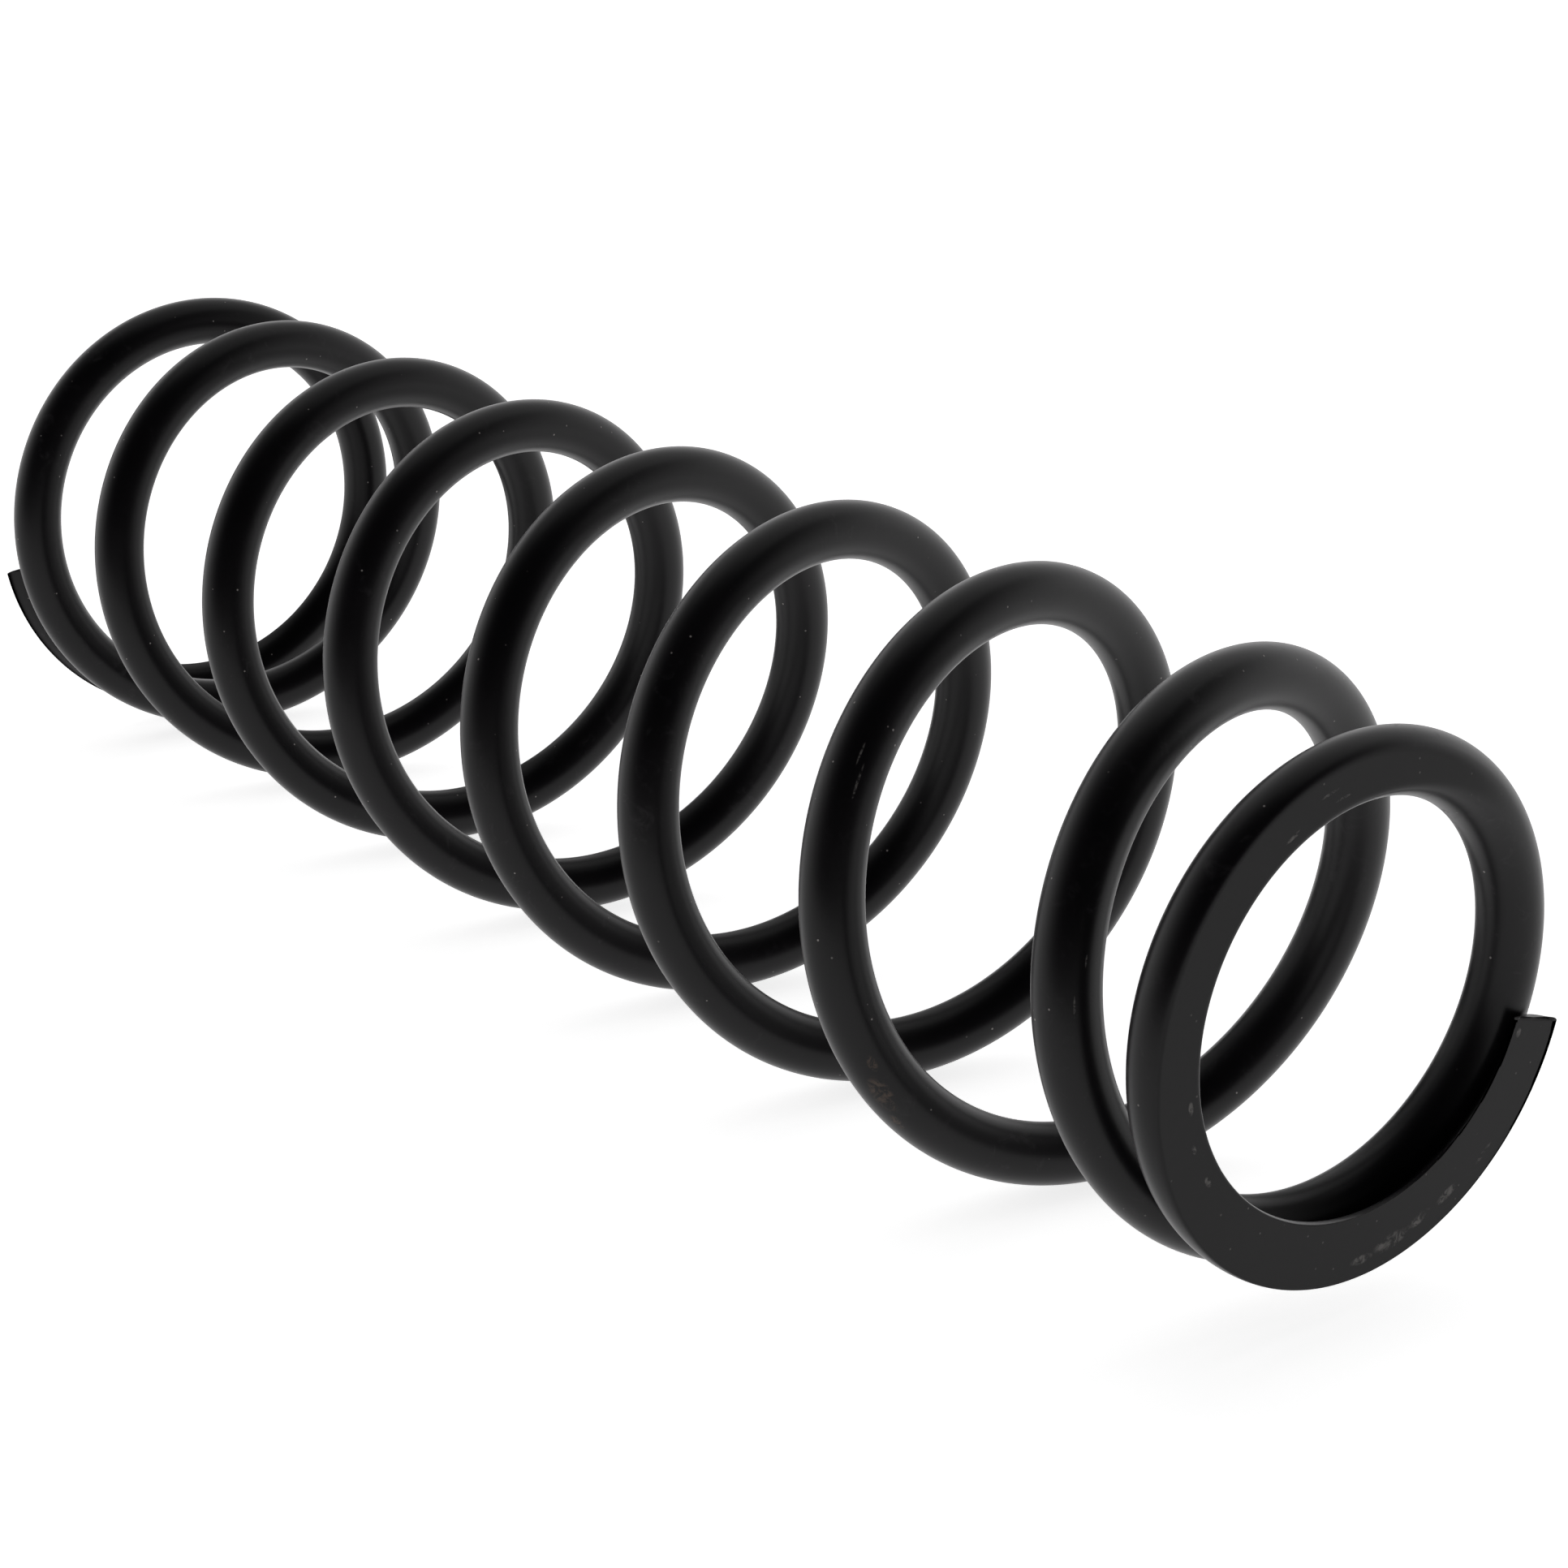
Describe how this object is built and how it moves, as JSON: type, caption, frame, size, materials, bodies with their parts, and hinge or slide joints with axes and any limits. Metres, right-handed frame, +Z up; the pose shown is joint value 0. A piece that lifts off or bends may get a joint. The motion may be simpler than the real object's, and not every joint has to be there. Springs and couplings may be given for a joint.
{
  "type": "coil spring",
  "caption": "Helical compression spring of round black-painted wire, with closed and ground ends and one end coil wound smaller.",
  "frame": {"origin": "on the surface that the spring lies on, under the middle of its length", "axes": "+X along the spring's axis towards the small end coil, +Z up"},
  "size_m": [0.3076, 0.0804, 0.0804],
  "materials": {
    "black_paint": "satin black powder coat"
  },
  "bodies": {
    "small_end": {"coil_1_bottom": "black_paint", "coil_1_left": "black_paint", "coil_1_top": "black_paint", "coil_1_right": "black_paint"},
    "large_end": {"coil_9_top": "black_paint", "coil_9_right": "black_paint", "coil_10_bottom": "black_paint"},
    "coil_2_bottom_stretch": {"coil_2_bottom": "black_paint"},
    "coil_2_left_stretch": {"coil_2_left": "black_paint"},
    "coil_2_top_stretch": {"coil_2_top": "black_paint"},
    "coil_2_right_stretch": {"coil_2_right": "black_paint"},
    "coil_3_bottom_stretch": {"coil_3_bottom": "black_paint"},
    "coil_3_left_stretch": {"coil_3_left": "black_paint"},
    "coil_3_top_stretch": {"coil_3_top": "black_paint"},
    "coil_3_right_stretch": {"coil_3_right": "black_paint"},
    "coil_4_bottom_stretch": {"coil_4_bottom": "black_paint"},
    "coil_4_left_stretch": {"coil_4_left": "black_paint"},
    "coil_4_top_stretch": {"coil_4_top": "black_paint"},
    "coil_4_right_stretch": {"coil_4_right": "black_paint"},
    "coil_5_bottom_stretch": {"coil_5_bottom": "black_paint"},
    "coil_5_left_stretch": {"coil_5_left": "black_paint"},
    "coil_5_top_stretch": {"coil_5_top": "black_paint"},
    "coil_5_right_stretch": {"coil_5_right": "black_paint"},
    "coil_6_bottom_stretch": {"coil_6_bottom": "black_paint"},
    "coil_6_left_stretch": {"coil_6_left": "black_paint"},
    "coil_6_top_stretch": {"coil_6_top": "black_paint"},
    "coil_6_right_stretch": {"coil_6_right": "black_paint"},
    "coil_7_bottom_stretch": {"coil_7_bottom": "black_paint"},
    "coil_7_left_stretch": {"coil_7_left": "black_paint"},
    "coil_7_top_stretch": {"coil_7_top": "black_paint"},
    "coil_7_right_stretch": {"coil_7_right": "black_paint"},
    "coil_8_bottom_stretch": {"coil_8_bottom": "black_paint"},
    "coil_8_left_stretch": {"coil_8_left": "black_paint"},
    "coil_8_top_stretch": {"coil_8_top": "black_paint"},
    "coil_8_right_stretch": {"coil_8_right": "black_paint"},
    "coil_9_bottom_stretch": {"coil_9_bottom": "black_paint"},
    "coil_9_left_stretch": {"coil_9_left": "black_paint"}
  },
  "joints": [
    {"name": "compression", "type": "slide", "parent": "small_end", "child": "large_end", "axis": [1, 0, 0], "range_m": [0, 0.18], "stiffness_N_per_m": 19000},
    {"name": "coil_2_bottom_slide", "type": "slide", "parent": "small_end", "child": "coil_2_bottom_stretch", "axis": [1, 0, 0], "range_m": [0, 0.000253]},
    {"name": "coil_2_left_slide", "type": "slide", "parent": "small_end", "child": "coil_2_left_stretch", "axis": [1, 0, 0], "range_m": [0, 0.00221]},
    {"name": "coil_2_top_slide", "type": "slide", "parent": "small_end", "child": "coil_2_top_stretch", "axis": [1, 0, 0], "range_m": [0, 0.01042]},
    {"name": "coil_2_right_slide", "type": "slide", "parent": "small_end", "child": "coil_2_right_stretch", "axis": [1, 0, 0], "range_m": [0, 0.01811]},
    {"name": "coil_3_bottom_slide", "type": "slide", "parent": "small_end", "child": "coil_3_bottom_stretch", "axis": [1, 0, 0], "range_m": [0, 0.02448]},
    {"name": "coil_3_left_slide", "type": "slide", "parent": "small_end", "child": "coil_3_left_stretch", "axis": [1, 0, 0], "range_m": [0, 0.03085]},
    {"name": "coil_3_top_slide", "type": "slide", "parent": "small_end", "child": "coil_3_top_stretch", "axis": [1, 0, 0], "range_m": [0, 0.03723]},
    {"name": "coil_3_right_slide", "type": "slide", "parent": "small_end", "child": "coil_3_right_stretch", "axis": [1, 0, 0], "range_m": [0, 0.0436]},
    {"name": "coil_4_bottom_slide", "type": "slide", "parent": "small_end", "child": "coil_4_bottom_stretch", "axis": [1, 0, 0], "range_m": [0, 0.04997]},
    {"name": "coil_4_left_slide", "type": "slide", "parent": "small_end", "child": "coil_4_left_stretch", "axis": [1, 0, 0], "range_m": [0, 0.05634]},
    {"name": "coil_4_top_slide", "type": "slide", "parent": "small_end", "child": "coil_4_top_stretch", "axis": [1, 0, 0], "range_m": [0, 0.06271]},
    {"name": "coil_4_right_slide", "type": "slide", "parent": "small_end", "child": "coil_4_right_stretch", "axis": [1, 0, 0], "range_m": [0, 0.06908]},
    {"name": "coil_5_bottom_slide", "type": "slide", "parent": "small_end", "child": "coil_5_bottom_stretch", "axis": [1, 0, 0], "range_m": [0, 0.07546]},
    {"name": "coil_5_left_slide", "type": "slide", "parent": "small_end", "child": "coil_5_left_stretch", "axis": [1, 0, 0], "range_m": [0, 0.08183]},
    {"name": "coil_5_top_slide", "type": "slide", "parent": "small_end", "child": "coil_5_top_stretch", "axis": [1, 0, 0], "range_m": [0, 0.0882]},
    {"name": "coil_5_right_slide", "type": "slide", "parent": "small_end", "child": "coil_5_right_stretch", "axis": [1, 0, 0], "range_m": [0, 0.09457]},
    {"name": "coil_6_bottom_slide", "type": "slide", "parent": "small_end", "child": "coil_6_bottom_stretch", "axis": [1, 0, 0], "range_m": [0, 0.10094]},
    {"name": "coil_6_left_slide", "type": "slide", "parent": "small_end", "child": "coil_6_left_stretch", "axis": [1, 0, 0], "range_m": [0, 0.10732]},
    {"name": "coil_6_top_slide", "type": "slide", "parent": "small_end", "child": "coil_6_top_stretch", "axis": [1, 0, 0], "range_m": [0, 0.11369]},
    {"name": "coil_6_right_slide", "type": "slide", "parent": "small_end", "child": "coil_6_right_stretch", "axis": [1, 0, 0], "range_m": [0, 0.12006]},
    {"name": "coil_7_bottom_slide", "type": "slide", "parent": "small_end", "child": "coil_7_bottom_stretch", "axis": [1, 0, 0], "range_m": [0, 0.12645]},
    {"name": "coil_7_left_slide", "type": "slide", "parent": "small_end", "child": "coil_7_left_stretch", "axis": [1, 0, 0], "range_m": [0, 0.13282]},
    {"name": "coil_7_top_slide", "type": "slide", "parent": "small_end", "child": "coil_7_top_stretch", "axis": [1, 0, 0], "range_m": [0, 0.1392]},
    {"name": "coil_7_right_slide", "type": "slide", "parent": "small_end", "child": "coil_7_right_stretch", "axis": [1, 0, 0], "range_m": [0, 0.14557]},
    {"name": "coil_8_bottom_slide", "type": "slide", "parent": "small_end", "child": "coil_8_bottom_stretch", "axis": [1, 0, 0], "range_m": [0, 0.15194]},
    {"name": "coil_8_left_slide", "type": "slide", "parent": "small_end", "child": "coil_8_left_stretch", "axis": [1, 0, 0], "range_m": [0, 0.15831]},
    {"name": "coil_8_top_slide", "type": "slide", "parent": "small_end", "child": "coil_8_top_stretch", "axis": [1, 0, 0], "range_m": [0, 0.16468]},
    {"name": "coil_8_right_slide", "type": "slide", "parent": "small_end", "child": "coil_8_right_stretch", "axis": [1, 0, 0], "range_m": [0, 0.17169]},
    {"name": "coil_9_bottom_slide", "type": "slide", "parent": "small_end", "child": "coil_9_bottom_stretch", "axis": [1, 0, 0], "range_m": [0, 0.1768]},
    {"name": "coil_9_left_slide", "type": "slide", "parent": "small_end", "child": "coil_9_left_stretch", "axis": [1, 0, 0], "range_m": [0, 0.17881]}
  ],
  "couplings": [
    {"joint": "coil_2_bottom_slide", "follows": "compression", "ratio": 0.0014},
    {"joint": "coil_2_left_slide", "follows": "compression", "ratio": 0.0123},
    {"joint": "coil_2_top_slide", "follows": "compression", "ratio": 0.0579},
    {"joint": "coil_2_right_slide", "follows": "compression", "ratio": 0.1006},
    {"joint": "coil_3_bottom_slide", "follows": "compression", "ratio": 0.136},
    {"joint": "coil_3_left_slide", "follows": "compression", "ratio": 0.1714},
    {"joint": "coil_3_top_slide", "follows": "compression", "ratio": 0.2068},
    {"joint": "coil_3_right_slide", "follows": "compression", "ratio": 0.2422},
    {"joint": "coil_4_bottom_slide", "follows": "compression", "ratio": 0.2776},
    {"joint": "coil_4_left_slide", "follows": "compression", "ratio": 0.313},
    {"joint": "coil_4_top_slide", "follows": "compression", "ratio": 0.3484},
    {"joint": "coil_4_right_slide", "follows": "compression", "ratio": 0.3838},
    {"joint": "coil_5_bottom_slide", "follows": "compression", "ratio": 0.4192},
    {"joint": "coil_5_left_slide", "follows": "compression", "ratio": 0.4546},
    {"joint": "coil_5_top_slide", "follows": "compression", "ratio": 0.49},
    {"joint": "coil_5_right_slide", "follows": "compression", "ratio": 0.5254},
    {"joint": "coil_6_bottom_slide", "follows": "compression", "ratio": 0.5608},
    {"joint": "coil_6_left_slide", "follows": "compression", "ratio": 0.5962},
    {"joint": "coil_6_top_slide", "follows": "compression", "ratio": 0.6316},
    {"joint": "coil_6_right_slide", "follows": "compression", "ratio": 0.667},
    {"joint": "coil_7_bottom_slide", "follows": "compression", "ratio": 0.7025},
    {"joint": "coil_7_left_slide", "follows": "compression", "ratio": 0.7379},
    {"joint": "coil_7_top_slide", "follows": "compression", "ratio": 0.7733},
    {"joint": "coil_7_right_slide", "follows": "compression", "ratio": 0.8087},
    {"joint": "coil_8_bottom_slide", "follows": "compression", "ratio": 0.8441},
    {"joint": "coil_8_left_slide", "follows": "compression", "ratio": 0.8795},
    {"joint": "coil_8_top_slide", "follows": "compression", "ratio": 0.9149},
    {"joint": "coil_8_right_slide", "follows": "compression", "ratio": 0.9538},
    {"joint": "coil_9_bottom_slide", "follows": "compression", "ratio": 0.9822},
    {"joint": "coil_9_left_slide", "follows": "compression", "ratio": 0.9934}
  ]
}
